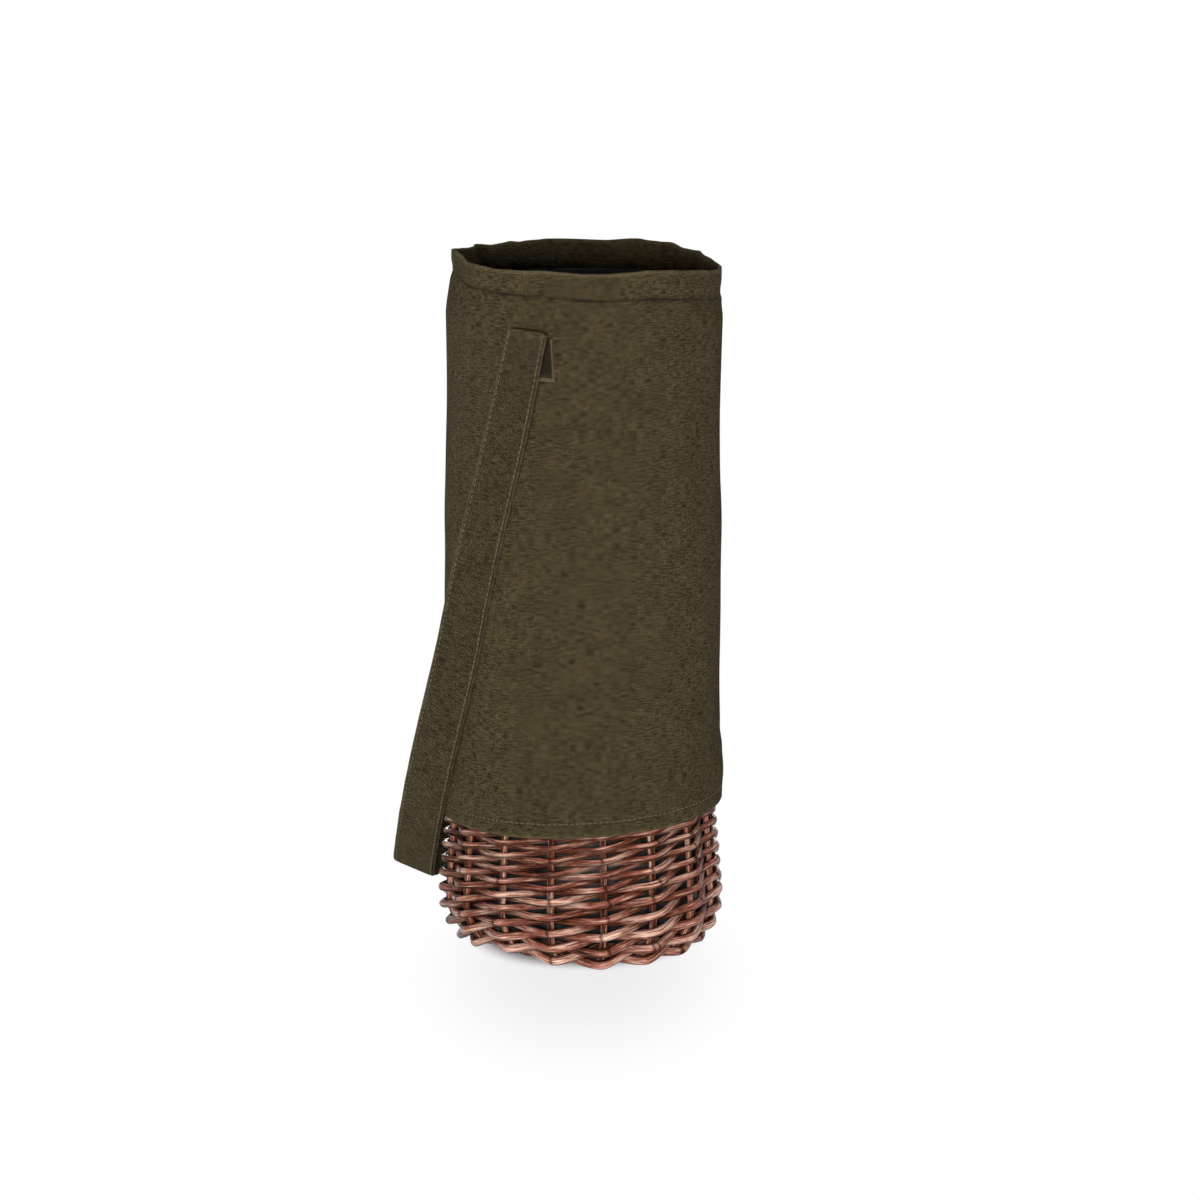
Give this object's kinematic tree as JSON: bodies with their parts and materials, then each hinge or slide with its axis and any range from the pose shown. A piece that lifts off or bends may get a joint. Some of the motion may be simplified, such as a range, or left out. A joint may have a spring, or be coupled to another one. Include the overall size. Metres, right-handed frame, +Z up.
{
  "type": "wine bottle basket",
  "caption": "Round willow bottle basket with an insulated canvas sleeve sewn over its rim and a canvas carry strap that hangs at one side.",
  "frame": {"origin": "centre of the base's underside, on the surface that the basket stands on", "axes": "+Z up along the basket's axis, -Y towards the front strap tab, -X towards the hanging strap"},
  "size_m": [0.1691, 0.142, 0.3411],
  "materials": {
    "willow": "stained and lacquered willow rods",
    "canvas": "plain woven olive brown cotton canvas",
    "strap_canvas": "the same canvas, folded to a band and top-stitched",
    "lining": "dark slate quilted insulation, dull woven face"
  },
  "bodies": {
    "basket": {"stake_rod_1": "willow", "stake_rod_2": "willow", "stake_rod_3": "willow", "stake_rod_4": "willow", "stake_rod_5": "willow", "stake_rod_6": "willow", "stake_rod_7": "willow", "stake_rod_8": "willow", "wall_weaver_1": "willow", "wall_weaver_2": "willow", "wall_weaver_3": "willow", "wall_weaver_4": "willow", "wall_weaver_5": "willow", "wall_weaver_6": "willow", "wall_weaver_7": "willow", "wall_weaver_8": "willow", "wall_weaver_9": "willow", "wall_weaver_10": "willow", "wall_weaver_11": "willow", "wall_weaver_12": "willow", "wall_weaver_13": "willow", "wall_weaver_14": "willow", "wall_weaver_15": "willow", "wall_weaver_16": "willow", "base_weaver_1": "willow", "base_weaver_2": "willow", "canvas_sleeve": "canvas", "liner_wall": "lining", "liner_floor": "lining", "strap_tab_front": "strap_canvas", "strap_tab_rear": "strap_canvas"},
    "strap": {"carry_strap": "strap_canvas"}
  },
  "joints": [
    {"name": "strap_swing", "type": "hinge", "parent": "basket", "child": "strap", "pos_m": [0, 0, 0.311], "axis": [0, 1, 0], "range_deg": [0, 322]}
  ]
}
